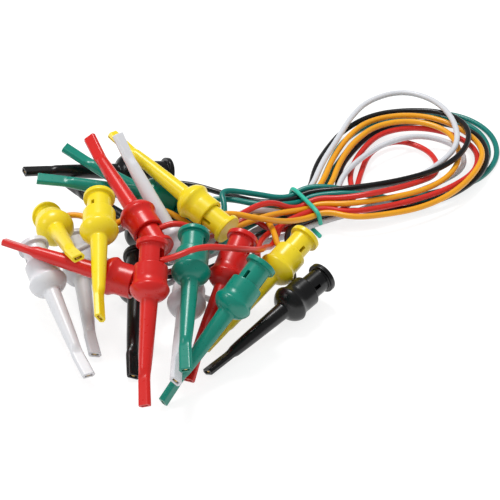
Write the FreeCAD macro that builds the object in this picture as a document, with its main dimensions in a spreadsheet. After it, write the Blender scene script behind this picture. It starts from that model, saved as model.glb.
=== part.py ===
import FreeCAD, Part
import Sketcher
import math
import os

# A set of ten double-ended test leads gathered by one soft tie: two leads in each of five colours, and a
# sprung hook clip on both ends of every lead. A clip's axis runs from its tip at height zero up to its
# end disc. Its wide side, its slots and its wire's exit lie along X.

doc = FreeCAD.newDocument("test_leads")

# Driving sizes in millimetres. Levels are heights above the clip's tip.
SIZES = {
    "tip_half_width": (2.3, "half the wide side of the flat tip at its end"),
    "tip_root_half_width": (2.2, "half the wide side where the flat tip ends"),
    "tip_half_thickness": (1.12, "half the thin side of the flat tip"),
    "tip_corner": (0.55, "depth of the tip's slanted sides"),
    "tip_sweep": (0.8, "how far the tip's end leans to the wire's side"),
    "tip_length": (9.5, "length of the flat tip"),
    "tip_blend_half_width": (1.9, "half the wide side where the tip sinks into the nose"),
    "tip_blend_half_thickness": (1.6, "half the thin side where the tip sinks into the nose"),
    "tip_blend_level": (12.5, "level where the tip has sunk into the nose"),
    "nose_start_radius": (1.2, "radius of the nose inside the tip"),
    "nose_start_level": (8.5, "level where the round nose starts"),
    "nose_radius": (1.95, "radius of the nose just above the tip"),
    "nose_level": (10.5, "level where the nose is clear of the tip"),
    "nose_mid_radius": (2.3, "radius of the nose at its bend"),
    "nose_mid_level": (17.0, "level of the nose's bend"),
    "nose_end_radius": (2.95, "radius of the nose under the flange"),
    "dome_height": (4.0, "from the end of the nose up to the flange's edge"),
    "dome_arc_radius": (5.3, "radius of the dome's curve"),
    "rim_radius": (6.6, "radius of the finger flange"),
    "rim_edge": (0.6, "height of the flange's edge"),
    "rim_back_radius": (6.4, "radius of the flange's back edge"),
    "waist_height": (3.2, "from the flange's edge up to the cylinder"),
    "waist_arc_radius": (4.5, "radius of the waist's hollow curve"),
    "cylinder_radius": (5.55, "radius of the barrel's cylinder"),
    "cylinder_height": (4.3, "height of the cylinder"),
    "cylinder_edge": (0.4, "bevel on the cylinder's shoulder"),
    "slot_low": (-0.5, "near side of the tip's slot"),
    "slot_high": (2.05, "far side of the tip's slot"),
    "slot_half_width": (0.45, "half the width of the tip's slot"),
    "slot_depth": (2.9, "depth of the tip's slot"),
    "stem_bore_radius": (0.6, "radius of the bore for the hook's stem"),
    "stem_bore_start": (2.0, "level where the stem's bore starts"),
    "spring_bore_radius": (2.0, "radius of the bore for the spring"),
    "ledge_depth": (17.3, "from the barrel's open end down to the ledge under the spring"),
    "plunger_travel": (3.0, "how far the plunger can be pressed in"),
    "travel_spare": (0.8, "room left under the pressed plunger"),
    "slide_gap": (0.25, "clearance round the plunger's sleeve"),
    "plunger_radius": (4.15, "radius of the plunger's sleeve"),
    "plunger_overlap": (3.9, "how far the sleeve reaches into the barrel"),
    "seat_radius": (1.9, "radius of the spring's seat in the plunger"),
    "seat_depth": (2.6, "depth of the spring's seat"),
    "plunger_bore_radius": (1.2, "radius of the bore above the seat"),
    "end_wall": (2.5, "thickness of the plunger's end"),
    "stem_cover": (1.0, "plastic over the top of the hook's stem"),
    "disc_radius": (5.35, "radius of the end disc"),
    "disc_thickness": (1.7, "thickness of the end disc"),
    "disc_edge": (0.4, "bevel on the end disc"),
    "clip_length": (57.0, "length of the whole clip"),
    "neck_height": (7.0, "from the barrel's open end up to the end disc"),
    "window_gap": (0.25, "clearance round the wire in its slot"),
    "window_sink": (0.3, "how far the slots reach below the barrel's open end"),
    "window_half_width": (1.25, "half the width of the wire's slot"),
    "vent_half_width": (0.6, "half the width of the narrow slot across from it"),
    "vent_height": (3.6, "height of the narrow slot"),
    "hook_wire_radius": (0.35, "radius of the hook's wire"),
    "hook_bend_radius": (0.75, "radius of the hook's bend"),
    "hook_bend_level": (1.25, "level of the centre of the hook's bend"),
    "hook_end_height": (0.95, "height of the hook's free end over its bend's centre"),
    "spring_outer_radius": (1.7, "outer radius of the return spring"),
    "spring_inner_radius": (1.25, "inner radius of the return spring"),
    "cord_radius": (1.0, "radius of the insulated wire"),
    "cord_inset": (1.0, "distance from the clip's axis to the wire's end"),
    "cord_reach": (8.0, "distance from the clip's axis to the wire's first bend"),
    "tie_radius": (0.8, "radius of the tie's wire"),
    "tie_half_width": (9.4, "half the inside width of the tie, at its wire's centre"),
    "tie_half_height": (4.15, "half the height of the tie, at its wire's centre"),
    "tie_bend_radius": (2.2, "radius of the tie's bends"),
    "tie_gap": (0.1, "clearance between the tie's two ends"),
    "tie_tail": (2.5, "how far the tie's lower end reaches out of the bundle"),
    "tie_drop": (5.0, "how far the tie's upper end hangs down beside the bundle"),
    "tie_heading": (30.0, "direction in degrees in which the bundle runs through the tie"),
}

# Levels and sizes that follow from the ones above, counted down from the end disc where they can be.
FOLLOWING = {
    "disc_level": "clip_length - disc_thickness",
    "shoulder_level": "disc_level - neck_height",
    "cylinder_level": "shoulder_level - cylinder_height",
    "rim_level": "cylinder_level - waist_height - rim_edge",
    "rim_back_level": "rim_level + rim_edge",
    "nose_end_level": "rim_level - dome_height",
    "ledge_level": "shoulder_level - ledge_depth",
    "plunger_low_level": "shoulder_level - plunger_overlap",
    "chamber_level": "plunger_low_level - plunger_travel - travel_spare",
    "chamber_radius": "plunger_radius + slide_gap",
    "seat_level": "plunger_low_level + seat_depth",
    "plunger_bore_top": "clip_length - end_wall",
    "stem_top": "clip_length - stem_cover",
    "cord_level": "shoulder_level + cord_radius + window_gap",
    "window_low": "shoulder_level - window_sink",
    "window_high": "cord_level + cord_radius + plunger_travel + window_gap",
    "vent_high": "window_low + vent_height",
    "hook_end_level": "hook_bend_level + hook_end_height",
}

sheet = doc.addObject("Spreadsheet::Sheet", "sizes")
for row, (name, (value, note)) in enumerate(SIZES.items(), start=1):
    sheet.set("A%d" % row, name)
    sheet.set("B%d" % row, str(value))
    sheet.setAlias("B%d" % row, name)
    sheet.set("C%d" % row, note)
for row, (name, formula) in enumerate(FOLLOWING.items(), start=len(SIZES) + 1):
    sheet.set("A%d" % row, name)
    sheet.set("B%d" % row, "=" + formula)
    sheet.setAlias("B%d" % row, name)
doc.recompute()
NAMES = set(SIZES) | set(FOLLOWING)


def size(name):
    """The value of one named size on the sheet."""
    return float(sheet.get(name))


def amount(formula):
    """The number that a sum of named sizes comes to."""
    total = 0.0
    sign = 1.0
    for word in formula.split():
        if word in "+-":
            sign = -1.0 if word == "-" else 1.0
        else:
            total += sign * (size(word) if word in NAMES else float(word))
            sign = 1.0
    return total


def bound(formula):
    """The same sum written for an expression, with every size read from the sheet."""
    return " ".join("sizes." + word if word in NAMES else word for word in formula.split())


def plane(body, role):
    """The body's own origin plane of this role."""
    return [feature for feature in body.Origin.OriginFeatures if feature.Role == role][0]


def outline(body, name, role, corners, level=None):
    """A closed outline on an origin plane. Each corner is (across, along) and may carry the radius of an
    arc to the next corner: positive bulges to the right of the way round, negative to the left."""
    sketch = body.newObject("Sketcher::SketchObject", name)
    sketch.AttachmentSupport = (plane(body, role), "")
    sketch.MapMode = "FlatFace"
    if level:
        sketch.AttachmentOffset = FreeCAD.Placement(FreeCAD.Vector(0, 0, amount(level)), FreeCAD.Rotation())
        sketch.setExpression("AttachmentOffset.Base.z", bound(level))
    places = [FreeCAD.Vector(amount(corner[0]), amount(corner[1]), 0) for corner in corners]
    for index, corner in enumerate(corners):
        start = places[index]
        end = places[(index + 1) % len(places)]
        if len(corner) == 2:
            sketch.addGeometry(Part.LineSegment(start, end))
            continue
        radius = amount(corner[2].lstrip("-"))
        side = -1.0 if corner[2].startswith("-") else 1.0
        chord = end - start
        across = FreeCAD.Vector(chord.y, -chord.x, 0).normalize() * side
        rise = radius - math.sqrt(radius ** 2 - (chord.Length / 2) ** 2)
        sketch.addGeometry(Part.Arc(start, (start + end) * 0.5 + across * rise, end))
    for index, corner in enumerate(corners):
        following = (index + 1) % len(corners)
        first = start_point(sketch, index, places[index])
        last = 3 - first
        meet = start_point(sketch, following, places[following])
        sketch.addConstraint(Sketcher.Constraint("Coincident", index, last, following, meet))
        for kind, value in (("DistanceX", corner[0]), ("DistanceY", corner[1])):
            number = sketch.addConstraint(Sketcher.Constraint(kind, -1, 1, index, first, amount(value)))
            sketch.setExpression("Constraints[%d]" % number, bound(value))
        if len(corner) == 3:
            radius = corner[2].lstrip("-")
            number = sketch.addConstraint(Sketcher.Constraint("Radius", index, amount(radius)))
            sketch.setExpression("Constraints[%d]" % number, bound(radius))
    return sketch


def start_point(sketch, index, place):
    """Which end of this edge lies at the place: 1 for its start, 2 for its end."""
    return 1 if sketch.getPoint(index, 1).distanceToPoint(place) < 1e-6 else 2


def turned(body, name, sketch, kind="PartDesign::Revolution"):
    """A full turn of an outline about the body's own axis, added or cut away."""
    feature = body.newObject(kind, name)
    feature.Profile = sketch
    feature.ReferenceAxis = (sketch, ["V_Axis"])
    feature.Angle = 360
    doc.recompute()
    return feature


def hexagon(body, name, centre, half_width, half_thickness, corner, level):
    """The flat tip's cross-section: a slab with slanted sides."""
    wide = [centre + " + " + half_width, centre + " - " + half_width]
    flat = [wide[0] + " - " + corner, wide[1] + " + " + corner]
    thin = "0 - " + half_thickness
    corners = [(wide[0], "0"), (flat[0], half_thickness), (flat[1], half_thickness),
               (wide[1], "0"), (flat[1], thin), (flat[0], thin)]
    return outline(body, name, "XY_Plane", corners, level)


# Barrel: a turned nose, finger flange and cylinder with a flat leaning tip. It is hollow for the hook's
# stem, the spring and the plunger, and slotted at the tip for the hook.
barrel = doc.addObject("PartDesign::Body", "barrel_pattern")
outer = outline(barrel, "barrel_outline", "XZ_Plane", [
    ("0", "nose_start_level"),
    ("nose_start_radius", "nose_start_level"),
    ("nose_radius", "nose_level"),
    ("nose_mid_radius", "nose_mid_level"),
    ("nose_end_radius", "nose_end_level", "dome_arc_radius"),
    ("rim_radius", "rim_level"),
    ("rim_back_radius", "rim_back_level", "-waist_arc_radius"),
    ("cylinder_radius", "cylinder_level"),
    ("cylinder_radius", "shoulder_level - cylinder_edge"),
    ("cylinder_radius - cylinder_edge", "shoulder_level"),
    ("0", "shoulder_level"),
])
turned(barrel, "barrel_turned", outer)
tip_end = hexagon(barrel, "tip_end", "tip_sweep", "tip_half_width", "tip_half_thickness", "tip_corner", "0")
tip_root = hexagon(barrel, "tip_root", "0", "tip_root_half_width", "tip_half_thickness", "tip_corner",
                   "tip_length")
tip_blend = hexagon(barrel, "tip_blend", "0", "tip_blend_half_width", "tip_blend_half_thickness",
                    "tip_corner", "tip_blend_level")
tip = barrel.newObject("PartDesign::AdditiveLoft", "flat_tip")
tip.Profile = tip_end
tip.Sections = [tip_root, tip_blend]
tip.Ruled = True
doc.recompute()
whole = barrel.Shape.Volume
hollow = outline(barrel, "barrel_hollow", "XZ_Plane", [
    ("0", "stem_bore_start"),
    ("stem_bore_radius", "stem_bore_start"),
    ("stem_bore_radius", "ledge_level"),
    ("spring_bore_radius", "ledge_level"),
    ("spring_bore_radius", "chamber_level"),
    ("chamber_radius", "chamber_level"),
    ("chamber_radius", "shoulder_level + cylinder_edge"),
    ("0", "shoulder_level + cylinder_edge"),
])
turned(barrel, "barrel_bores", hollow, "PartDesign::Groove")
bored = barrel.Shape.Volume
slot = outline(barrel, "tip_slot", "XY_Plane", [
    ("slot_low", "0 - slot_half_width"),
    ("slot_high", "0 - slot_half_width"),
    ("slot_high", "slot_half_width"),
    ("slot_low", "slot_half_width"),
])
slot_cut = barrel.newObject("PartDesign::Pocket", "tip_slot_cut")
slot_cut.Profile = slot
slot_cut.setExpression("Length", "sizes.slot_depth")
slot_cut.Reversed = True
doc.recompute()
slotted = barrel.Shape.Volume

# Plunger: a sleeve with an end disc, the spring's seat, a socket for the stem and two slots for the wire.
plunger = doc.addObject("PartDesign::Body", "plunger_pattern")
sleeve = outline(plunger, "plunger_outline", "XZ_Plane", [
    ("0", "stem_top"),
    ("hook_wire_radius", "stem_top"),
    ("hook_wire_radius", "plunger_bore_top"),
    ("plunger_bore_radius", "plunger_bore_top"),
    ("plunger_bore_radius", "seat_level"),
    ("seat_radius", "seat_level"),
    ("seat_radius", "plunger_low_level"),
    ("plunger_radius", "plunger_low_level"),
    ("plunger_radius", "disc_level"),
    ("disc_radius", "disc_level"),
    ("disc_radius", "clip_length - disc_edge"),
    ("disc_radius - disc_edge", "clip_length"),
    ("0", "clip_length"),
])
turned(plunger, "plunger_turned", sleeve)
sleeve_volume = plunger.Shape.Volume
window_cuts = []
for name, half_width, top, on_wire_side in (("window", "window_half_width", "window_high", True),
                                            ("vent", "vent_half_width", "vent_high", False)):
    opening = outline(plunger, "plunger_" + name, "YZ_Plane", [
        ("0 - " + half_width, "window_low"),
        (half_width, "window_low"),
        (half_width, top),
        ("0 - " + half_width, top),
    ])
    cut = plunger.newObject("PartDesign::Pocket", name + "_cut")
    cut.Profile = opening
    cut.setExpression("Length", "sizes.plunger_radius + sizes.slide_gap")
    cut.Reversed = on_wire_side
    doc.recompute()
    window_cuts.append(plunger.Shape.Volume)

# Hook: one springy wire with a straight stem, a half turn at the tip and a short free end.
stem = doc.addObject("Part::Cylinder", "hook_stem")
stem.setExpression("Radius", "sizes.hook_wire_radius")
stem.setExpression("Height", "sizes.stem_top - sizes.hook_bend_level")
stem.setExpression("Placement.Base.z", "sizes.hook_bend_level")
bend = doc.addObject("Part::Torus", "hook_bend")
bend.setExpression("Radius1", "sizes.hook_bend_radius")
bend.setExpression("Radius2", "sizes.hook_wire_radius")
bend.Angle3 = 180
bend.Placement = FreeCAD.Placement(FreeCAD.Vector(0, 0, 0), FreeCAD.Rotation(FreeCAD.Vector(1, 0, 0), -90))
bend.setExpression("Placement.Base.x", "sizes.hook_bend_radius")
bend.setExpression("Placement.Base.z", "sizes.hook_bend_level")
point = doc.addObject("Part::Cylinder", "hook_point")
point.setExpression("Radius", "sizes.hook_wire_radius")
point.setExpression("Height", "sizes.hook_end_level - sizes.hook_bend_level")
point.setExpression("Placement.Base.x", "2 * sizes.hook_bend_radius")
point.setExpression("Placement.Base.z", "sizes.hook_bend_level")
hook = doc.addObject("Part::MultiFuse", "hook_pattern")
hook.Shapes = [stem, bend, point]
hook.Refine = True

# Return spring: the sleeve of space that its coils fill, round the stem.
coil_outer = doc.addObject("Part::Cylinder", "spring_outer")
coil_outer.setExpression("Radius", "sizes.spring_outer_radius")
coil_outer.setExpression("Height", "sizes.seat_level - sizes.ledge_level")
coil_outer.setExpression("Placement.Base.z", "sizes.ledge_level")
coil_inner = doc.addObject("Part::Cylinder", "spring_inner")
coil_inner.setExpression("Radius", "sizes.spring_inner_radius")
coil_inner.setExpression("Height", "sizes.seat_level - sizes.ledge_level")
coil_inner.setExpression("Placement.Base.z", "sizes.ledge_level")
spring = doc.addObject("Part::Cut", "spring_pattern")
spring.Base = coil_outer
spring.Tool = coil_inner
doc.recompute()

# Where each clip lies: its colour and number, its tip's place, the heading and rise of its axis in
# degrees, and its roll about the axis. The wire leaves to the left of the axis at a roll of zero.
CLIPS = [
    ("black", 1, -52.7, 44.6, 20.8, 23.0, -16.0, 180),
    ("black", 2, -41.2, 54.2, 10.8, -41.5, -5.5, 90),
    ("black", 3, -11.5, -46.0, 2.0, 89.5, 7.0, 200),
    ("black", 4, 13.9, -44.6, 2.4, 47.0, 8.0, 330),
    ("green", 1, -39.1, 54.3, 23.5, -23.5, -19.0, 0),
    ("green", 2, -46.3, 30.2, 28.1, -0.5, -11.5, 195),
    ("green", 3, 6.3, -62.7, 18.2, 87.5, 13.5, 165),
    ("green", 4, -0.9, -59.9, 3.0, 50.5, 27.0, 270),
    ("red", 1, -29.5, 45.2, 33.9, -61.5, -12.0, 30),
    ("red", 2, -55.5, -4.2, 25.5, -21.5, -4.5, 330),
    ("red", 3, -6.6, -69.7, 9.3, 87.5, 29.5, 150),
    ("red", 4, 6.6, -50.7, 4.3, 69.5, 22.0, 180),
    ("white", 1, -18.9, 35.9, 41.7, -51.5, -39.0, 345),
    ("white", 2, -25.8, -48.7, 4.1, 112.0, 15.5, 180),
    ("white", 3, -24.6, -35.6, 2.5, 98.5, 6.0, 195),
    ("white", 4, 3.2, -63.1, 14.6, 85.5, -1.0, 225),
    ("yellow", 1, -21.4, 45.1, 35.8, -41.0, -15.5, 345),
    ("yellow", 2, -29.4, -23.7, 33.1, 105.5, -20.5, 165),
    ("yellow", 3, -21.0, -47.6, 28.0, 92.5, 7.0, 240),
    ("yellow", 4, 12.8, -32.8, 2.2, 52.0, 15.0, 330),
]

# The leads: the clip at each end, and the wire's points between them, from one clip through the tie, round
# the loop, back through the tie and on to the other clip. The points were read off the photograph and
# then moved apart until no two wires touched.
LEADS = {
    "black_1": ("black_1", "black_2", [
        (5, 53, 7), (20, 46.5, 6), (32, 41.5, 10), (43, 46, 6.5), (57.5, 55.5, 9), (72.5, 56, 10),
        (86, 60, 9.5), (98, 68, 8.5), (107.5, 79, 8), (109.5, 94, 7), (102, 106, 5), (87.5, 109, 4),
        (73.5, 106.5, 3.5), (62.5, 97.5, 2.5), (56, 85, 2.5), (53, 71.5, 3.5), (52.5, 56.5, 3),
        (41.5, 47.5, 3), (25.5, 42.5, 2.5), (16.5, 23.5, 12), (3.5, 22, 19.5),
    ]),
    "black_2": ("black_4", "black_3", [
        (42, 7.5, 6.5), (39.5, 24.5, 8.5), (45, 35.5, 4.5), (59.5, 42.5, 5), (75, 44.5, 4.5),
        (88, 49, 3.5), (101.5, 55.5, 3.5), (112, 65, 4.5), (116, 80, 4), (112.5, 95.5, 3),
        (100, 103.5, 2), (85.5, 103.5, 2), (73.5, 96, 2.5), (65.5, 83.5, 2.5), (62, 68, 4),
        (61, 52, 0.5), (46.5, 42.5, 3.5), (33.5, 35, 0), (27.5, 19.5, 9.5), (18, 9.5, 5.5), (3, 10, 0),
    ]),
    "green_1": ("green_2", "green_3", [
        (5.5, 18.5, 9.5), (16, 24.5, 3.5), (20.5, 42.5, 14.5), (41, 47.5, 5.5), (53.5, 57, 9.5),
        (67.5, 58, 6.5), (81.5, 54.5, 3), (94.5, 56, 4.5), (105.5, 61.5, 2.5), (114.5, 70.5, 1),
        (120, 82.5, 1.5), (118.5, 97, 1.5), (109.5, 108, 1.5), (96, 111.5, 1.5), (81, 109, 1.5),
        (70, 101.5, 1), (61.5, 90.5, 1.5), (57.5, 76.5, 1.5), (56, 61.5, 1), (51, 50.5, 3),
        (34.5, 42, 2.5), (26.5, 28, 8.5), (13, 4, 14), (19.5, 1, 31), (21, -10, 32.5),
    ]),
    "green_2": ("green_1", "green_4", [
        (17.5, 45.5, 8.5), (32.5, 38, 10), (45.5, 45, 6), (59.5, 53.5, 10), (73.5, 52, 10),
        (87, 51.5, 2), (99, 59.5, 1), (110.5, 69.5, 1.5), (117, 82.5, 1), (115, 97, 1.5),
        (105, 107, 1.5), (90.5, 109, 1.5), (77.5, 103.5, 1.5), (67.5, 93.5, 1.5), (61.5, 80.5, 1.5),
        (58.5, 65.5, 2.5), (55, 50.5, 2.5), (41, 42.5, 3), (29.5, 34.5, 1.5), (29, 17.5, 1),
        (26.5, 3.5, 10), (28, -13, 14),
    ]),
    "red_1": ("red_1", "red_2", [
        (10, 5, 24), (13.5, 11.5, 14.5), (22.5, 25, 15), (34, 35.5, 14.5), (43.5, 41, 5.5),
        (58.5, 49.5, 9.5), (72, 50.5, 13), (86, 56, 8.5), (97, 67.5, 4.5), (95, 83.5, 2.5),
        (83, 91.5, 2.5), (72, 84, 2.5), (68.5, 68, 2), (65.5, 50.5, 1), (51.5, 40, 3), (36, 31.5, 2.5),
        (27.5, 29.5, 12), (19.5, 24.5, 9), (9.5, 14.5, 2), (-1, 6, 5), (-4.5, -6, 12.5),
    ]),
    "red_2": ("red_3", "red_4", [
        (11.5, -23, 38), (24, -17.5, 32.5), (31, -7.5, 24.5), (32.5, 5, 16.5), (35.5, 16, 8.5),
        (38, 29, 8.5), (45.5, 37, 7), (61.5, 45, 7.5), (76, 46.5, 6.5), (89, 50.5, 6), (101, 57, 6),
        (110.5, 68, 4.5), (112, 83, 3.5), (103.5, 94.5, 3), (90, 99, 3), (77, 95.5, 3), (69, 84, 3),
        (65.5, 69, 2.5), (66, 51.5, 5), (56.5, 44, 5), (39.5, 34.5, 5), (32, 21, 9), (37, 6, 21),
        (37, -6.5, 22.5),
    ]),
    "white_1": ("white_1", "white_4", [
        (16, 21, 9.5), (23.5, 30.5, 13.5), (34.5, 35.5, 10), (44.5, 40, 4), (61.5, 51, 7.5),
        (74.5, 56, 7.5), (86, 62, 7), (97, 71, 7), (104.5, 82, 8.5), (104, 96.5, 8), (98, 110.5, 7.5),
        (86, 118, 7), (72.5, 111.5, 7), (65, 99, 7), (60, 85, 7), (56, 70, 6.5), (53, 55.5, 5.5),
        (42.5, 46.5, 4.5), (26.5, 43, 6), (22.5, 25, 8.5), (21, 9.5, 3), (18.5, -6, 3.5),
    ]),
    "white_2": ("white_3", "white_2", [
        (-15.5, 9, 2), (-1, 2, 0.5), (10, 12.5, 5.5), (20, 21, 4.5), (35.5, 26.5, 3), (51.5, 37.5, 3),
        (64, 44, 2.5), (72.5, 51, 1.5), (83.5, 57, 1), (95.5, 63.5, 1.5), (107, 73, 2),
        (106, 86.5, 2.5), (92, 91, 5), (78.5, 84.5, 6), (68.5, 74, 6), (63, 61, 5.5), (59, 48, 3.5),
        (44.5, 38.5, 2.5), (32.5, 33.5, 5.5), (20, 25, 1.5), (7, 22, 4.5), (-3.5, 25, 16),
        (-14.5, 15.5, 18), (-27, 4.5, 18),
    ]),
    "yellow_1": ("yellow_1", "yellow_2", [
        (30, 19.5, 18), (39.5, 27, 11), (47.5, 35.5, 6), (61, 42, 8), (75, 42, 6.5), (89, 45.5, 5.5),
        (101, 53, 6), (110, 64, 7), (114, 78, 6), (110, 92.5, 4), (99, 102.5, 4.5), (85, 104.5, 5),
        (71.5, 100, 5), (63.5, 88, 5.5), (59, 73.5, 5.5), (57.5, 58.5, 6.5), (47.5, 46.5, 4.5),
        (31.5, 41, 6), (22, 32.5, 3.5), (10.5, 23.5, 3), (-0.5, 27.5, 12), (-11.5, 21, 15.5),
        (-25, 18, 17.5),
    ]),
    "yellow_2": ("yellow_3", "yellow_4", [
        (-19.5, 11.5, 20.5), (-9, 23.5, 21), (1.5, 19.5, 20), (13, 17, 11), (27, 24.5, 13),
        (36.5, 33, 10.5), (47.5, 41, 6), (63, 48.5, 10), (78, 49, 8.5), (91.5, 54.5, 7), (101.5, 65, 6),
        (105.5, 79.5, 5.5), (101.5, 93.5, 5.5), (88.5, 100, 5.5), (75, 96.5, 5.5), (66.5, 85.5, 6),
        (62, 71.5, 6), (60, 56, 5.5), (49.5, 45, 4.5), (32.5, 38, 5.5), (35.5, 20.5, 12.5),
    ]),
}

# The middle of the tie.
TIE_PLACE = (47.0, 43.2, 4.95)


def lie(x, y, z, heading, rise, roll):
    """The placement of a clip from its tip's place and its angles."""
    across = FreeCAD.Rotation(FreeCAD.Vector(0, 0, 1), roll + 90)
    tilt = FreeCAD.Rotation(FreeCAD.Vector(0, 1, 0), 90 - rise)
    swing = FreeCAD.Rotation(FreeCAD.Vector(0, 0, 1), heading)
    return FreeCAD.Placement(FreeCAD.Vector(x, y, z), swing * tilt * across)


def piece(name, shape):
    """A named part that holds this shape."""
    part = doc.addObject("Part::Feature", name)
    part.Shape = shape
    part.Label = name
    return part


def round_rod(name, points, radius, largest_bend=None):
    """A round rod along straight runs joined by tangent arcs, each as large as its runs allow."""
    arc_share = 0.45
    volume_tolerance = 0.01
    points = [FreeCAD.Vector(*point) for point in points]
    edges = []
    bends = []
    length = 0.0
    last = points[0]
    for before, corner, after in zip(points, points[1:], points[2:]):
        back = (before - corner).normalize()
        on = (after - corner).normalize()
        half_turn = (math.pi - back.getAngle(on)) / 2
        reach = arc_share * min((before - corner).Length, (after - corner).Length)
        bend_radius = reach / math.tan(half_turn)
        if largest_bend and bend_radius > largest_bend:
            bend_radius = largest_bend
            reach = bend_radius * math.tan(half_turn)
        inward = (back + on).normalize()
        middle = corner + inward * (bend_radius / math.cos(half_turn) - bend_radius)
        start = corner + back * reach
        end = corner + on * reach
        edges.append(Part.LineSegment(last, start).toShape())
        edges.append(Part.Arc(start, middle, end).toShape())
        length += (start - last).Length + 2 * half_turn * bend_radius
        bends.append(bend_radius)
        last = end
    edges.append(Part.LineSegment(last, points[-1]).toShape())
    length += (points[-1] - last).Length
    section = Part.Wire([Part.makeCircle(radius, points[0], points[1] - points[0])])
    shape = Part.Wire(edges).makePipeShell([section], True, False)
    expected = math.pi * radius ** 2 * length
    print("%-14s length %6.1f mm, volume %7.1f of %7.1f mm3, bends from %.1f mm: %s" % (
        name, length, shape.Volume, expected, min(bends), " ".join("%.0f" % bend for bend in bends)))
    if abs(shape.Volume / expected - 1) > volume_tolerance:
        raise ValueError("the rod %s has lost its section" % name)
    return piece(name, shape)


parts = []
places = {}
barrels = {}
springs = []
for colour, number, x, y, z, heading, rise, roll in CLIPS:
    clip = "%s_%d" % (colour, number)
    place = lie(x, y, z, heading, rise, roll)
    places[clip] = place
    body = barrel.Shape.copy()
    body.Placement = place
    barrels.setdefault(colour, []).append(body)
    for kind, pattern in (("plunger", plunger), ("hook", hook)):
        moving = piece("%s_%s" % (clip, kind), pattern.Shape.copy())
        moving.Placement = place
        parts.append(moving)
    coil = spring.Shape.copy()
    coil.Placement = place
    springs.append(coil)
    axis = place.Rotation.multVec(FreeCAD.Vector(0, 0, -1))
    print("%s presses along (%.5f, %.5f, %.5f)" % (clip, axis.x, axis.y, axis.z))
for colour, shapes in barrels.items():
    parts.append(piece(colour + "_barrels", Part.makeCompound(shapes)))
parts.append(piece("return_springs", Part.makeCompound(springs)))

for name, (first, last, points) in LEADS.items():
    route = [places[first].multVec(FreeCAD.Vector(size(reach), 0, size("cord_level")))
             for reach in ("cord_inset", "cord_reach")]
    route += [FreeCAD.Vector(*point) for point in points]
    route += [places[last].multVec(FreeCAD.Vector(size(reach), 0, size("cord_level")))
              for reach in ("cord_reach", "cord_inset")]
    parts.append(round_rod(name + "_wire", route, size("cord_radius")))

# Tie: one wire that starts on the table beside the bundle, goes once round it and hangs down beside its
# own start.
along = FreeCAD.Rotation(FreeCAD.Vector(0, 0, 1), size("tie_heading"))
half_width = size("tie_half_width")
half_height = size("tie_half_height")
step = size("tie_radius") + size("tie_gap") / 2
low = size("tie_radius") - TIE_PLACE[2]
tie_points = [
    (-step, -half_width - size("tie_tail"), low), (-step, half_width, -half_height),
    (0, half_width, half_height), (0, -half_width, half_height),
    (step, -half_width, half_height - size("tie_drop")),
]
parts.append(round_rod("tie", [along.multVec(FreeCAD.Vector(*point)) + FreeCAD.Vector(*TIE_PLACE)
                               for point in tie_points], size("tie_radius"), size("tie_bend_radius")))

# Every object must be sound, and every cut must have taken material, before anything is written.
doc.recompute()
for item in doc.Objects:
    if "Invalid" in item.State or "Error" in item.State:
        raise ValueError("%s is not sound" % item.Label)
for before, after in ((whole, bored), (bored, slotted), (sleeve_volume, window_cuts[0]), window_cuts):
    if after >= before - 1:
        raise ValueError("a cut has taken nothing away")
for part in parts:
    if part.Shape.isNull() or not part.Shape.isValid():
        raise ValueError("%s is not a valid shape" % part.Label)
os.makedirs("parts", exist_ok=True)
for part in parts:
    part.Shape.exportStep("parts/%s.step" % part.Label)
print("%d parts written" % len(parts))
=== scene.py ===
import math
import bmesh
import bpy
from mathutils import Matrix, Vector


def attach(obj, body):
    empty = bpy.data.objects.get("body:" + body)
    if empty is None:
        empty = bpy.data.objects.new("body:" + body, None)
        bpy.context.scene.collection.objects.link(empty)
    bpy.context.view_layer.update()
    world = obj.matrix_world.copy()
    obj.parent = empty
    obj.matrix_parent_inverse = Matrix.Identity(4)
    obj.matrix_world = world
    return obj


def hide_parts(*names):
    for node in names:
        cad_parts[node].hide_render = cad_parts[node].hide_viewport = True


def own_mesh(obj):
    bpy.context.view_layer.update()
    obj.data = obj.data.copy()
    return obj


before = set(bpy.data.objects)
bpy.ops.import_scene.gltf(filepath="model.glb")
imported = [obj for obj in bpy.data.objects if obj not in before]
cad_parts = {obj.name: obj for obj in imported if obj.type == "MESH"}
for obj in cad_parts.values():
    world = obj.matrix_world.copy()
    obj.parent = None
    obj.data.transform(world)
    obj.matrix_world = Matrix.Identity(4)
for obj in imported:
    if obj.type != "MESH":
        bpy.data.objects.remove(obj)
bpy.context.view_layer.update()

# Camera. The photograph looks down on the heap from the front, from about 0.8 m, through a lens long
# enough that the far loop of wire is hardly smaller than the near clips.
VIEW_POINT = Vector((0.0274, 0.0254, 0.0))
VIEW_DISTANCE = 0.8109
VIEW_ELEVATION = math.radians(36.803)
camera_data = bpy.data.cameras.new("camera")
camera_data.lens = 165.69
camera_data.sensor_width = 36.0
camera = bpy.data.objects.new("camera", camera_data)
towards_camera = Vector((0, -math.cos(VIEW_ELEVATION), math.sin(VIEW_ELEVATION)))
camera.location = VIEW_POINT + VIEW_DISTANCE * towards_camera
camera.rotation_euler = (math.pi / 2 - VIEW_ELEVATION, 0, 0)
bpy.context.scene.collection.objects.link(camera)
bpy.context.scene.camera = camera
bpy.context.scene.view_settings.view_transform = "Standard"

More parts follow.
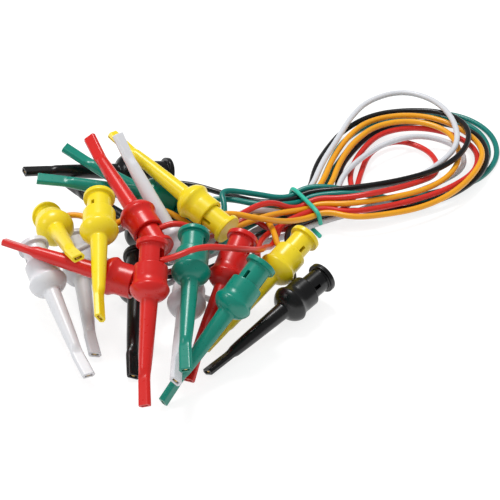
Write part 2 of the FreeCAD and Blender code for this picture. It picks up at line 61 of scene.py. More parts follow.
# Where the clips lie. Twenty spring clips were dropped on a table in a heap. Each row is the place of a
# clip's tip in metres, then the heading and rise of its axis and its roll about that axis in degrees.
CLIPS = {
    "black_1": (-0.0527, 0.0446, 0.0208, 23, -16, 180),
    "black_2": (-0.0412, 0.0542, 0.0108, -41.5, -5.5, 90),
    "black_3": (-0.0115, -0.046, 0.002, 89.5, 7, 200),
    "black_4": (0.0139, -0.0446, 0.0024, 47, 8, 330),
    "green_1": (-0.0391, 0.0543, 0.0235, -23.5, -19, 0),
    "green_2": (-0.0463, 0.0302, 0.0281, -0.5, -11.5, 195),
    "green_3": (0.0063, -0.0627, 0.0182, 87.5, 13.5, 165),
    "green_4": (-0.0009, -0.0599, 0.003, 50.5, 27, 270),
    "red_1": (-0.0295, 0.0452, 0.0339, -61.5, -12, 30),
    "red_2": (-0.0555, -0.0042, 0.0255, -21.5, -4.5, 330),
    "red_3": (-0.0066, -0.0697, 0.0093, 87.5, 29.5, 150),
    "red_4": (0.0066, -0.0507, 0.0043, 69.5, 22, 180),
    "white_1": (-0.0189, 0.0359, 0.0417, -51.5, -39, 345),
    "white_2": (-0.0258, -0.0487, 0.0041, 112, 15.5, 180),
    "white_3": (-0.0246, -0.0356, 0.0025, 98.5, 6, 195),
    "white_4": (0.0032, -0.0631, 0.0146, 85.5, -1, 225),
    "yellow_1": (-0.0214, 0.0451, 0.0358, -41, -15.5, 345),
    "yellow_2": (-0.0294, -0.0237, 0.0331, 105.5, -20.5, 165),
    "yellow_3": (-0.021, -0.0476, 0.028, 92.5, 7, 240),
    "yellow_4": (0.0128, -0.0328, 0.0022, 52, 15, 330),
}


def lie(x, y, z, heading, rise, roll):
    """Turns a clip that stands on its tip at the origin into one that lies in the heap."""
    swing = Matrix.Rotation(math.radians(heading), 4, "Z")
    tilt = Matrix.Rotation(math.radians(90 - rise), 4, "Y")
    across = Matrix.Rotation(math.radians(roll + 90), 4, "Z")
    return Matrix.Translation((x, y, z)) @ swing @ tilt @ across


LIES = {clip: lie(*row) for clip, row in CLIPS.items()}
COLOURS = ("black", "green", "red", "white", "yellow")

# Wires. Ten leads in soft extruded PVC. Each leaves a clip through the slot in its plunger, runs through
# the tie, once round the loop, back through the tie and into its other clip. The points are those of the
# CAD routes, some moved to follow the photograph, and the lengths are those of the CAD routes.
WIRE_DIAMETER = 0.0021
PLASTIC_IOR = 1.53
WIRE_LEVEL = 0.04955
WIRE_INSET = 0.001
WIRE_REACH = 0.008
INSULATION = {
    "black": ("#0D0D10", "#08080A"),
    "green": ("#00837A", "#006F66"),
    "red": ("#DC2A1E", "#C01F18"),
    "white": ("#D6D8DC", "#C8CAD0"),
    "yellow": ("#F2AA10", "#DE920A"),
}
LEADS = {
    "black_1": ("black_1", "black_2", [
        (0.005, 0.0565, 0.007), (0.02, 0.05, 0.006), (0.032, 0.0415, 0.00875), (0.043, 0.046, 0.00675),
        (0.048, 0.04925, 0.00825), (0.0595, 0.04875, 0.00975), (0.0725, 0.051, 0.01),
        (0.086, 0.05625, 0.0095), (0.098, 0.06425, 0.0085), (0.1075, 0.07725, 0.008),
        (0.1095, 0.093, 0.007), (0.102, 0.106, 0.005), (0.0875, 0.109, 0.004), (0.0735, 0.1065, 0.0035),
        (0.0625, 0.0975, 0.0025), (0.056, 0.085, 0.0025), (0.05125, 0.0715, 0.0035),
        (0.049, 0.0565, 0.003), (0.04125, 0.0475, 0.003), (0.0255, 0.0425, 0.0025),
        (0.0165, 0.0235, 0.012), (0.0035, 0.022, 0.0195),
    ]),
    "black_2": ("black_4", "black_3", [
        (0.042, 0.0075, 0.0065), (0.0395, 0.0245, 0.0085), (0.045, 0.0355, 0.0045),
        (0.0595, 0.0425, 0.005), (0.075, 0.043, 0.00425), (0.088, 0.0465, 0.0035),
        (0.1015, 0.05425, 0.0035), (0.112, 0.065, 0.0045), (0.116, 0.08, 0.004), (0.1125, 0.0955, 0.003),
        (0.1, 0.1035, 0.002), (0.0855, 0.1035, 0.002), (0.0735, 0.096, 0.0025), (0.0655, 0.0835, 0.0025),
        (0.0595, 0.068, 0.004), (0.059, 0.052, 0.0005), (0.0465, 0.0425, 0.0035), (0.0335, 0.035, 0),
        (0.0275, 0.0195, 0.0095), (0.018, 0.0095, 0.0055), (0.003, 0.01, 0),
    ]),
    "green_1": ("green_2", "green_3", [
        (0.0055, 0.0185, 0.0095), (0.016, 0.0245, 0.0035), (0.019, 0.036, 0.0105), (0.0165, 0.044, 0.013),
        (0.027, 0.0465, 0.00975), (0.041, 0.0475, 0.006), (0.04675, 0.05175, 0.0085),
        (0.057, 0.05175, 0.00875), (0.0675, 0.051, 0.00575), (0.0815, 0.05125, 0.003),
        (0.0945, 0.05425, 0.0045), (0.1055, 0.061, 0.0025), (0.1145, 0.0705, 0.001),
        (0.12, 0.0825, 0.0015), (0.1185, 0.097, 0.0015), (0.1095, 0.108, 0.0015), (0.096, 0.1115, 0.0015),
        (0.081, 0.109, 0.0015), (0.07, 0.1015, 0.001), (0.0615, 0.0905, 0.0015),
        (0.05675, 0.0765, 0.0015), (0.05275, 0.0615, 0.001), (0.04975, 0.0505, 0.003),
        (0.0345, 0.042, 0.0025), (0.0265, 0.028, 0.0085), (0.013, 0.004, 0.014), (0.0165, 0, 0.0205),
        (0.01625, -0.0095, 0.027),
    ]),
    "green_2": ("green_1", "green_4", [
        (0.0175, 0.0455, 0.0085), (0.0325, 0.038, 0.01), (0.0455, 0.045, 0.00625),
        (0.04925, 0.04725, 0.00775), (0.06, 0.0465, 0.00975), (0.0735, 0.04675, 0.0085),
        (0.087, 0.049, 0.002), (0.099, 0.058, 0.001), (0.1105, 0.0695, 0.0015), (0.117, 0.0825, 0.001),
        (0.115, 0.097, 0.0015), (0.105, 0.107, 0.0015), (0.0905, 0.109, 0.0015), (0.0775, 0.1035, 0.0015),
        (0.0675, 0.0935, 0.0015), (0.0615, 0.0805, 0.0015), (0.0555, 0.0655, 0.0025),
        (0.05375, 0.0505, 0.0025), (0.041, 0.0425, 0.003), (0.0295, 0.0345, 0.0015),
        (0.029, 0.0175, 0.001), (0.0265, 0.0035, 0.01), (0.028, -0.013, 0.014),
    ]),
    "red_1": ("red_1", "red_2", [
        (0.01, 0.005, 0.024), (0.0135, 0.0115, 0.0145), (0.0225, 0.025, 0.015), (0.034, 0.0355, 0.0145),
        (0.0435, 0.041, 0.00575), (0.0505, 0.045, 0.0085), (0.0605, 0.04275, 0.01),
        (0.073, 0.0435, 0.012), (0.086, 0.0535, 0.0085), (0.097, 0.066, 0.0045), (0.095, 0.0835, 0.0025),
        (0.083, 0.0915, 0.0025), (0.072, 0.084, 0.0025), (0.0675, 0.068, 0.002), (0.0645, 0.0505, 0.001),
        (0.0515, 0.04, 0.003), (0.036, 0.0315, 0.0025), (0.0275, 0.0295, 0.012), (0.0195, 0.0245, 0.009),
        (0.0095, 0.0145, 0.002), (-0.001, 0.006, 0.005), (-0.0045, -0.006, 0.0125),
    ]),
    "red_2": ("red_3", "red_4", [
        (0.0115, -0.023, 0.038), (0.024, -0.0175, 0.0325), (0.031, -0.0075, 0.0245),
        (0.0325, 0.005, 0.0165), (0.0355, 0.016, 0.0085), (0.038, 0.029, 0.0085), (0.0455, 0.037, 0.007),
        (0.053, 0.04075, 0.0075), (0.0625, 0.03825, 0.007), (0.076, 0.0425, 0.0065),
        (0.089, 0.04825, 0.006), (0.101, 0.05575, 0.006), (0.1105, 0.068, 0.0045), (0.112, 0.083, 0.0035),
        (0.1035, 0.0945, 0.003), (0.09, 0.099, 0.003), (0.077, 0.0955, 0.003), (0.069, 0.084, 0.003),
        (0.0635, 0.069, 0.0025), (0.06475, 0.0515, 0.005), (0.0565, 0.044, 0.005),
        (0.0395, 0.0345, 0.005), (0.032, 0.021, 0.009), (0.03, 0.008, 0.014), (0.03, -0.003, 0.018),
    ]),
    "white_1": ("white_1", "white_4", [
        (0.016, 0.021, 0.0095), (0.0235, 0.0305, 0.0135), (0.0345, 0.0355, 0.01), (0.0445, 0.04, 0.00425),
        (0.051, 0.04425, 0.0055), (0.062, 0.0485, 0.00775), (0.0745, 0.05125, 0.0075),
        (0.086, 0.05825, 0.007), (0.097, 0.068, 0.0075), (0.1045, 0.07925, 0.0085),
        (0.104, 0.0965, 0.008), (0.098, 0.1105, 0.0075), (0.086, 0.118, 0.007), (0.0725, 0.1115, 0.007),
        (0.065, 0.099, 0.007), (0.06, 0.085, 0.007), (0.05375, 0.07, 0.0065), (0.04975, 0.0555, 0.0055),
        (0.0425, 0.0465, 0.0045), (0.0265, 0.043, 0.006), (0.0225, 0.025, 0.0085), (0.021, 0.0095, 0.003),
        (0.0185, -0.006, 0.0035),
    ]),
    "white_2": ("white_3", "white_2", [
        (-0.0155, 0.009, 0.002), (-0.001, 0.002, 0.0005), (0.01, 0.0125, 0.0055), (0.02, 0.021, 0.0045),
        (0.0355, 0.0265, 0.003), (0.0515, 0.0375, 0.003), (0.064, 0.044, 0.0025), (0.0725, 0.051, 0.0015),
        (0.0835, 0.057, 0.001), (0.0955, 0.0635, 0.0015), (0.107, 0.073, 0.002), (0.106, 0.0865, 0.0025),
        (0.092, 0.091, 0.005), (0.0785, 0.0845, 0.006), (0.068, 0.074, 0.006), (0.05975, 0.061, 0.0055),
        (0.0585, 0.048, 0.0035), (0.0445, 0.0385, 0.0025), (0.0325, 0.0335, 0.0055),
        (0.02, 0.025, 0.0015), (0.007, 0.022, 0.0045), (-0.0035, 0.025, 0.016), (-0.0145, 0.0155, 0.018),
        (-0.027, 0.0045, 0.018),
    ]),
    "yellow_1": ("yellow_1", "yellow_2", [
        (0.03, 0.0195, 0.018), (0.0395, 0.027, 0.011), (0.0475, 0.0355, 0.00625),
        (0.05425, 0.0385, 0.0075), (0.064, 0.03475, 0.00725), (0.076, 0.03775, 0.0065),
        (0.089, 0.04325, 0.0055), (0.101, 0.05175, 0.006), (0.11, 0.064, 0.007), (0.114, 0.078, 0.006),
        (0.11, 0.0925, 0.004), (0.099, 0.1025, 0.0045), (0.085, 0.1045, 0.005), (0.0715, 0.1, 0.005),
        (0.0635, 0.088, 0.0055), (0.0575, 0.0735, 0.0055), (0.054, 0.0585, 0.0065),
        (0.0475, 0.0465, 0.0045), (0.0315, 0.041, 0.006), (0.022, 0.0325, 0.0035),
        (0.0105, 0.0235, 0.003), (-0.0005, 0.0275, 0.012), (-0.0115, 0.021, 0.0155),
        (-0.025, 0.018, 0.0175),
    ]),
    "yellow_2": ("yellow_3", "yellow_4", [
        (-0.0195, 0.0115, 0.0205), (-0.009, 0.0235, 0.021), (0.0015, 0.0195, 0.02), (0.013, 0.017, 0.011),
        (0.027, 0.0245, 0.013), (0.0365, 0.033, 0.0105), (0.0475, 0.041, 0.00625),
        (0.05175, 0.04275, 0.00775), (0.063, 0.04025, 0.00925), (0.078, 0.04525, 0.0085),
        (0.0915, 0.0525, 0.007), (0.1015, 0.064, 0.006), (0.1055, 0.079, 0.0055),
        (0.1015, 0.0935, 0.0055), (0.0885, 0.1, 0.0055), (0.075, 0.0965, 0.0055), (0.0665, 0.0855, 0.006),
        (0.06025, 0.0715, 0.006), (0.0565, 0.056, 0.0055), (0.0495, 0.045, 0.0045),
        (0.0325, 0.038, 0.0055), (0.0355, 0.0205, 0.0125),
    ]),
}


def linear(hex_colour):
    """An sRGB hex colour as linear light."""
    channels = [int(hex_colour[place:place + 2], 16) / 255 for place in (1, 3, 5)]
    lit = [c / 12.92 if c <= 0.04045 else ((c + 0.055) / 1.055) ** 2.4 for c in channels]
    return (*lit, 1.0)


def add(tree, kind, inputs=(), **settings):
    """Adds a node with its settings. Each input gets a value, or a link from another node's output."""
    node = tree.nodes.new(kind)
    for name, value in settings.items():
        setattr(node, name, value)
    for name, value in dict(inputs).items():
        if isinstance(value, bpy.types.NodeSocket):
            tree.links.new(value, node.inputs[name])
        else:
            node.inputs[name].default_value = value
    return node


def noise(tree, place, scale, detail):
    """Cloudy noise at a place, with this many clouds to the metre."""
    clouds = add(tree, "ShaderNodeTexNoise", {"Vector": place, "Scale": scale, "Detail": detail})
    return clouds.outputs["Fac"]


def mixed(tree, share, first, second):
    """A colour between two others. Sockets 6, 7 and 2 of the mix node are its colours."""
    return add(tree, "ShaderNodeMix", {"Factor": share, 6: first, 7: second}, data_type="RGBA").outputs[2]


def blank_material(name):
    """A material whose node tree is empty."""
    material = bpy.data.materials.new(name)
    material.use_nodes = True
    material.node_tree.nodes.clear()
    return material, material.node_tree


def extruded_pvc(name, colour, shade):
    """Soft PVC pulled through a die: an even, slightly waxy gloss that dulls in patches where the wire has
    been handled, and a faint unevenness, under a millimetre long, from the strands underneath."""
    material, tree = blank_material(name)
    place = add(tree, "ShaderNodeTexCoord").outputs["Object"]
    handled = noise(tree, place, 90.0, 3.0)
    strands = noise(tree, place, 1400.0, 2.0)
    tone = mixed(tree, handled, linear(colour), linear(shade))
    gloss = add(tree, "ShaderNodeMapRange", {"Value": handled, "To Min": 0.26, "To Max": 0.36})
    bump = add(tree, "ShaderNodeBump", {"Height": strands, "Strength": 0.05, "Distance": 0.0002})
    shader = add(tree, "ShaderNodeBsdfPrincipled", {
        "Base Color": tone, "Roughness": gloss.outputs["Result"], "Normal": bump.outputs["Normal"],
        "IOR": PLASTIC_IOR})
    add(tree, "ShaderNodeOutputMaterial", {"Surface": shader.outputs["BSDF"]})
    return material


def rod_curve(name, points, radius, kind="NURBS"):
    """A round rod along a smooth line whose control points these are."""
    curve = bpy.data.curves.new(name, "CURVE")
    curve.dimensions = "3D"
    curve.bevel_depth = radius
    curve.bevel_resolution = 5
    curve.resolution_u = 12
    curve.use_fill_caps = True
    spline = curve.splines.new(kind)
    spline.points.add(len(points) - 1)
    for point, place in zip(spline.points, points):
        point.co = (*place, 1.0)
    spline.order_u = 3
    spline.use_endpoint_u = True
    piece = bpy.data.objects.new(name, curve)
    bpy.context.scene.collection.objects.link(piece)
    return piece


for colour in COLOURS:
    extruded_pvc("pvc_" + colour, *INSULATION[colour])
wire_end = Vector((WIRE_INSET, 0, WIRE_LEVEL))
wire_mouth = Vector((WIRE_REACH, 0, WIRE_LEVEL))
for lead, (first, last, points) in LEADS.items():
    colour = lead.split("_")[0]
    route = [LIES[first] @ wire_end, LIES[first] @ wire_mouth]
    route += [Vector(point) for point in points]
    route += [LIES[last] @ wire_mouth, LIES[last] @ wire_end]
    wire = rod_curve(lead + "_lead", route, WIRE_DIAMETER / 2)
    wire.data.materials.append(bpy.data.materials["pvc_" + colour])
    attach(wire, "lead_set")
    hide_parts(lead + "_wire")

# Barrels. The body of each clip is one moulding in glossy nylon: a flat tip that leans to one side and is
# slotted for the hook, a slim nose, a domed flange for two fingers, a hollow waist and a cylinder that the
# plunger slides in. Levels are millimetres above the tip.
PLASTIC = {
    "black": ("#0C0C0E", "#070709"),
    "green": ("#008C78", "#007866"),
    "red": ("#D81A12", "#C21410"),
    "white": ("#DCDDE0", "#CFD0D5"),
    "yellow": ("#F0DA1C", "#E4C814"),
}
MILLIMETRE = 0.001
NEGLIGIBLE = 1e-6
SIDES = 64
MOULDED_EDGE_ANGLE = math.radians(34)
TIP_LENGTH = 9.0
TIP_SWEEP = 0.8
TIP_HALF_WIDTHS = (2.3, 2.2)
TIP_HALF_THICKNESS = 1.12
TIP_CORNER = 0.55
# Level and inset of the rings that round off the end of the tip.
TIP_END_RINGS = ((0.0, 0.35), (0.0, 0.14), (0.03, 0.07), (0.08, 0.02), (0.16, 0.0), (0.3, 0.0))
SLOT_LOW = -0.5
SLOT_HIGH = 2.05
SLOT_HALF_WIDTH = 0.45
SLOT_DEPTH = 2.9
NOSE_LEVEL = 10.5
NOSE_RADIUS = 1.95
BLEND_TOP = 12.5
BLEND_RADIUS = 2.058
NOSE_MID_LEVEL = 17.0
NOSE_MID_RADIUS = 2.3
NOSE_END_LEVEL = 36.2
NOSE_END_RADIUS = 2.95
DOME_ARC_RADIUS = 5.3
RIM_LEVEL = 40.2
RIM_RADIUS = 6.6
RIM_BACK_LEVEL = 40.8
RIM_BACK_RADIUS = 6.4
WAIST_ARC_RADIUS = 4.5
CYLINDER_LEVEL = 44.0
CYLINDER_RADIUS = 5.55
SHOULDER_LEVEL = 48.3
CHAMBER_LEVEL = 40.6
CHAMBER_RADIUS = 4.4
LEDGE_LEVEL = 31.0
SPRING_BORE_RADIUS = 2.0
STEM_BORE_START = 2.0
STEM_BORE_RADIUS = 0.6


def moulded_nylon(name, colour, shade):
    """Nylon from a polished mould: a clean gloss with small sharp highlights, softened by very fine scuffs,
    and a faint drift of tone where the melt cooled. Light goes a little way in, so shadows stay coloured."""
    material, tree = blank_material(name)
    place = add(tree, "ShaderNodeTexCoord").outputs["Object"]
    melt = noise(tree, place, 45.0, 2.0)
    scuffs = noise(tree, place, 700.0, 5.0)
    skin = noise(tree, place, 260.0, 1.0)
    tone = mixed(tree, melt, linear(colour), linear(shade))
    gloss = add(tree, "ShaderNodeMapRange", {"Value": scuffs, "To Min": 0.24, "To Max": 0.34})
    bump = add(tree, "ShaderNodeBump", {"Height": skin, "Strength": 0.02, "Distance": 0.0004})
    shader = add(tree, "ShaderNodeBsdfPrincipled", {
        "Base Color": tone, "Roughness": gloss.outputs["Result"], "Normal": bump.outputs["Normal"],
        "IOR": PLASTIC_IOR, "Subsurface Weight": 0.08, "Subsurface Radius": (1, 1, 1),
        "Subsurface Scale": 0.0006})
    add(tree, "ShaderNodeOutputMaterial", {"Surface": shader.outputs["BSDF"]})
    return material


def arc_between(start, end, radius):
    """Points on the arc from start to end. A positive radius bulges to the right of the way, seen with the
    radius across and the level up."""
    steps = 12
    chord = end - start
    half = chord.length / 2
    rise = abs(radius) - math.sqrt(radius ** 2 - half ** 2)
    side = math.copysign(1.0, radius)
    outward = Vector((chord.y, -chord.x)).normalized() * side
    middle = (start + end) / 2 + outward * rise
    centre = (start + end) / 2 + outward * (rise - abs(radius))
    turn = math.atan2(half, abs(radius) - rise)
    away = middle - centre
    points = []
    for step in range(steps + 1):
        angle = side * turn * (2 * step / steps - 1)
        points.append(centre + Vector((away.x * math.cos(angle) - away.y * math.sin(angle),
                                       away.x * math.sin(angle) + away.y * math.cos(angle))))
    return points


def turned_outline(corners):
    """The outline of a turned shape from corners (radius, level, rounding, arc to the next corner). The
    rounding is how far from the corner it starts. A flat next to a rounding gets one more point, so that
    it stays flat in the light."""
    steps = 5
    flat_from = 1.2
    clear_from = 1.3
    line = []
    marks = []
    travelled = 0.0
    for index, corner in enumerate(corners):
        here = Vector(corner[:2])
        if line:
            arc = corners[index - 1][3] if len(corners[index - 1]) > 3 else 0
            way = arc_between(line[-1][1], here, arc) if arc else [line[-1][1], here]
            for before, after in zip(way, way[1:]):
                travelled += (after - before).length
                line.append((travelled, after))
        else:
            line.append((0.0, here))
        if len(corner) > 2 and corner[2]:
            marks.append((travelled, corner[2]))

    def at(distance):
        for (low, before), (high, after) in zip(line, line[1:]):
            if distance <= high:
                return before.lerp(after, (distance - low) / (high - low))
        return line[-1][1]

    points = [(distance, place) for distance, place in line
              if all(abs(distance - mark) > clear_from * reach for mark, reach in marks)]
    for mark, reach in marks:
        start, corner, end = at(mark - reach), at(mark), at(mark + reach)
        for step in range(steps + 1):
            share = step / steps
            place = start.lerp(corner, share).lerp(corner.lerp(end, share), share)
            points.append((mark + reach * (2 * share - 1), place))
        points.append((mark - flat_from * reach, at(mark - flat_from * reach)))
        points.append((mark + flat_from * reach, at(mark + flat_from * reach)))
    return [place for distance, place in sorted(points, key=lambda item: item[0])]


def ring(radius_at, level, lean=0.0):
    """One ring of points round the axis, whose distance from it may change on the way round."""
    points = []
    for side in range(SIDES):
        angle = 2 * math.pi * side / SIDES
        radius = radius_at(angle) if callable(radius_at) else radius_at
        points.append((lean + radius * math.cos(angle), radius * math.sin(angle), level))
    return points


def skinned(name, rings):
    """A closed mesh through rings of points, from one point on the axis to another."""
    shell = bmesh.new()
    made = [[shell.verts.new(point) for point in one] for one in rings]
    for low, high in zip(made, made[1:]):
        for side in range(SIDES):
            following = (side + 1) % SIDES
            if len(low) == 1:
                shell.faces.new((low[0], high[following], high[side]))
            elif len(high) == 1:
                shell.faces.new((low[side], low[following], high[0]))
            else:
                shell.faces.new((low[side], low[following], high[following], high[side]))
    bmesh.ops.recalc_face_normals(shell, faces=shell.faces)
    mesh = bpy.data.meshes.new(name)
    shell.to_mesh(mesh)
    shell.free()
    return bpy.data.objects.new(name, mesh)


def lathe_rings(outline):
    """Rings for a turned outline, with single points where it meets the axis."""
    return [[(0, 0, place.y)] if place.x < NEGLIGIBLE else ring(place.x, place.y) for place in outline]


def slab(name, low, high, rounding):
    """A block with rounded edges along X, which cuts a slot."""
    block = bmesh.new()
    bmesh.ops.create_cube(block, size=1.0)
    for vertex in block.verts:
        vertex.co = [(a + b) / 2 + side * (b - a) for side, a, b in zip(vertex.co, low, high)]
    if rounding:
        along = [edge for edge in block.edges
                 if abs(edge.verts[0].co.x - edge.verts[1].co.x) > NEGLIGIBLE]
        bmesh.ops.bevel(block, geom=along, offset=rounding, segments=4, profile=0.5, affect="EDGES")
    mesh = bpy.data.meshes.new(name)
    block.to_mesh(mesh)
    block.free()
    return bpy.data.objects.new(name, mesh)


def cut_away(piece, cutters):
    """The piece with its slots cut, smooth except at its edges."""
    for thing in (piece, *cutters):
        bpy.context.scene.collection.objects.link(thing)
    for cutter in cutters:
        slot_cut = piece.modifiers.new("slot", "BOOLEAN")
        slot_cut.operation = "DIFFERENCE"
        slot_cut.solver = "EXACT"
        slot_cut.object = cutter
    evaluated = piece.evaluated_get(bpy.context.evaluated_depsgraph_get())
    mesh = bpy.data.meshes.new_from_object(evaluated)
    piece.modifiers.clear()
    piece.data = mesh
    mesh.shade_smooth()
    mesh.set_sharp_from_angle(angle=MOULDED_EDGE_ANGLE)
    bpy.context.scene.collection.objects.unlink(piece)
    for cutter in cutters:
        bpy.data.objects.remove(cutter)
    return piece


def flat_tip(angle, level):
    """Distance from the axis to the side of the tip, a slab with slanted sides and soft corners."""
    hardness = 16
    share = min(level / TIP_LENGTH, 1.0)
    half_width = TIP_HALF_WIDTHS[0] + share * (TIP_HALF_WIDTHS[1] - TIP_HALF_WIDTHS[0])
    slant = math.hypot(TIP_CORNER, TIP_HALF_THICKNESS)
    across, up = abs(math.cos(angle)), abs(math.sin(angle))
    faces = (up / TIP_HALF_THICKNESS,
             (TIP_HALF_THICKNESS * across + TIP_CORNER * up) / (half_width * TIP_HALF_THICKNESS))
    return sum(face ** hardness for face in faces) ** (-1 / hardness)


def barrel_ring(level, inset=0.0):
    """A ring of the tip or of the blend between the flat tip and the round nose."""
    share = min(max((level - TIP_LENGTH) / (BLEND_TOP - TIP_LENGTH), 0.0), 1.0)
    share = share * share * (3 - 2 * share)
    widening = (NOSE_MID_RADIUS - NOSE_RADIUS) / (NOSE_MID_LEVEL - NOSE_LEVEL)
    nose = NOSE_RADIUS + (level - NOSE_LEVEL) * widening
    lean = TIP_SWEEP * max(0.0, 1 - level / TIP_LENGTH)
    return ring(lambda angle: (1 - share) * (flat_tip(angle, level) - inset) + share * nose, level, lean)


rings = [[(TIP_SWEEP, 0, 0)]]
rings += [barrel_ring(level, inset) for level, inset in TIP_END_RINGS]
rings += [barrel_ring(1.0 + 0.5 * step) for step in range(24)]
rings += lathe_rings(turned_outline([
    (BLEND_RADIUS, BLEND_TOP),
    (NOSE_MID_RADIUS, NOSE_MID_LEVEL, 1.5),
    (NOSE_END_RADIUS, NOSE_END_LEVEL, 0.7, DOME_ARC_RADIUS),
    (RIM_RADIUS, RIM_LEVEL, 0.3),
    (RIM_BACK_RADIUS, RIM_BACK_LEVEL, 0.25, -WAIST_ARC_RADIUS),
    (CYLINDER_RADIUS, CYLINDER_LEVEL, 0.5),
    (CYLINDER_RADIUS, SHOULDER_LEVEL, 0.45),
    (CHAMBER_RADIUS, SHOULDER_LEVEL, 0.2),
    (CHAMBER_RADIUS, CHAMBER_LEVEL),
    (SPRING_BORE_RADIUS, CHAMBER_LEVEL),
    (SPRING_BORE_RADIUS, LEDGE_LEVEL),
    (STEM_BORE_RADIUS, LEDGE_LEVEL),
    (STEM_BORE_RADIUS, STEM_BORE_START),
    (0.0, STEM_BORE_START),
]))
tip_slot = slab("tip_slot", (SLOT_LOW, -SLOT_HALF_WIDTH, -1.0),
                (SLOT_HIGH, SLOT_HALF_WIDTH, SLOT_DEPTH), 0.0)
barrel_pattern = cut_away(skinned("barrel", rings), [tip_slot])


def copies_tree():
    """Geometry nodes that lay copies of one moulding on points, each turned as its point says."""
    tree = bpy.data.node_groups.new("clips_laid_in_a_heap", "GeometryNodeTree")
    kinds = {"Geometry": "Geometry", "Moulding": "Object", "Size": "Float", "Finish": "Material"}
    for name, kind in kinds.items():
        tree.interface.new_socket(name, in_out="INPUT", socket_type="NodeSocket" + kind)
    tree.interface.new_socket("Geometry", in_out="OUTPUT", socket_type="NodeSocketGeometry")
    given = add(tree, "NodeGroupInput").outputs
    moulding = add(tree, "GeometryNodeObjectInfo", {"Object": given["Moulding"]})
    turn = add(tree, "GeometryNodeInputNamedAttribute", {"Name": "turn"}, data_type="FLOAT_VECTOR")
    turned = add(tree, "FunctionNodeEulerToRotation", {"Euler": turn.outputs["Attribute"]})
    laid = add(tree, "GeometryNodeInstanceOnPoints", {
        "Points": given["Geometry"], "Instance": moulding.outputs["Geometry"],
        "Rotation": turned.outputs["Rotation"], "Scale": given["Size"]})
    solid = add(tree, "GeometryNodeRealizeInstances", {"Geometry": laid.outputs["Instances"]})
    finished = add(tree, "GeometryNodeSetMaterial", {
        "Geometry": solid.outputs["Geometry"], "Material": given["Finish"]})
    add(tree, "NodeGroupOutput", {"Geometry": finished.outputs["Geometry"]})
    return tree


def by_nodes(piece, tree, values):
    """Runs a geometry node tree on a piece with these inputs and keeps the plain mesh that it makes."""
    modifier = piece.modifiers.new(tree.name, "NODES")
    modifier.node_group = tree
    sockets = {item.name: item.identifier for item in tree.interface.items_tree if item.in_out == "INPUT"}
    for name, value in values.items():
        modifier[sockets[name]] = value
    evaluated = piece.evaluated_get(bpy.context.evaluated_depsgraph_get())
    mesh = bpy.data.meshes.new_from_object(evaluated)
    piece.modifiers.clear()
    piece.data = mesh
    return piece


bpy.context.scene.collection.objects.link(barrel_pattern)
laying = copies_tree()
for colour in COLOURS:
    nylon = moulded_nylon("nylon_" + colour, *PLASTIC[colour])
    lies = [LIES[clip] for clip in CLIPS if clip.startswith(colour)]
    tips = bpy.data.meshes.new(colour + "_barrel_mouldings")
    tips.from_pydata([place.translation for place in lies], [], [])
    turns = tips.attributes.new("turn", "FLOAT_VECTOR", "POINT")
    for datum, place in zip(turns.data, lies):
        datum.vector = place.to_euler()
    barrels = bpy.data.objects.new(colour + "_barrel_mouldings", tips)
    bpy.context.scene.collection.objects.link(barrels)
    by_nodes(barrels, laying, {"Moulding": barrel_pattern, "Size": MILLIMETRE, "Finish": nylon})
    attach(barrels, "lead_set")
    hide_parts(colour + "_barrels")
bpy.data.objects.remove(barrel_pattern)

# Plungers. Each is a sleeve in the same nylon with an end disc for the thumb. Inside it has a seat for the
# spring and a socket for the hook's stem. The wire goes in through a slot in its side; a smaller slot
# opposite is left by the mould.
CLIP_LENGTH = 57.0
DISH_LEVEL = 56.88
DISH_RADIUS = 4.35
DISH_RIM_RADIUS = 4.7
DISC_LEVEL = 55.3
DISC_RADIUS = 5.35
PLUNGER_LOW_LEVEL = 44.4
PLUNGER_RADIUS = 4.15
SEAT_LEVEL = 47.0
SEAT_RADIUS = 1.9
PLUNGER_BORE_TOP = 54.5
PLUNGER_BORE_RADIUS = 1.2
STEM_TOP = 56.0
SOCKET_RADIUS = 0.36
WINDOW_LOW = 48.0
WINDOW_HIGH = 53.8
WINDOW_HALF_WIDTH = 1.25
VENT_HIGH = 51.6
VENT_HALF_WIDTH = 0.6
CUT_FROM = 0.2
CUT_TO = 6.0
plunger_rings = lathe_rings(turned_outline([
    (0.0, DISH_LEVEL),
    (DISH_RADIUS, DISH_LEVEL, 0.25),
    (DISH_RIM_RADIUS, CLIP_LENGTH, 0.12),
    (DISC_RADIUS, CLIP_LENGTH, 0.4),
    (DISC_RADIUS, DISC_LEVEL, 0.3),
    (PLUNGER_RADIUS, DISC_LEVEL, 0.35),
    (PLUNGER_RADIUS, PLUNGER_LOW_LEVEL, 0.2),
    (SEAT_RADIUS, PLUNGER_LOW_LEVEL, 0.1),
    (SEAT_RADIUS, SEAT_LEVEL),
    (PLUNGER_BORE_RADIUS, SEAT_LEVEL),
    (PLUNGER_BORE_RADIUS, PLUNGER_BORE_TOP),
    (SOCKET_RADIUS, PLUNGER_BORE_TOP),
    (SOCKET_RADIUS, STEM_TOP),
    (0.0, STEM_TOP),
]))
wire_slot = slab("wire_slot", (CUT_FROM, -WINDOW_HALF_WIDTH, WINDOW_LOW),
                 (CUT_TO, WINDOW_HALF_WIDTH, WINDOW_HIGH), 0.25)
back_slot = slab("back_slot", (-CUT_TO, -VENT_HALF_WIDTH, WINDOW_LOW),
                 (-CUT_FROM, VENT_HALF_WIDTH, VENT_HIGH), 0.15)
plunger_pattern = cut_away(skinned("plunger", plunger_rings), [wire_slot, back_slot])
IN_METRES = Matrix.Scale(MILLIMETRE, 4)


def placed_copy(pattern, name, clip):
    """A copy of a clip's piece, its mesh moved to where the clip lies."""
    mesh = pattern.data.copy()
    mesh.transform(LIES[clip] @ IN_METRES)
    piece = bpy.data.objects.new(name, mesh)
    bpy.context.scene.collection.objects.link(piece)
    return piece


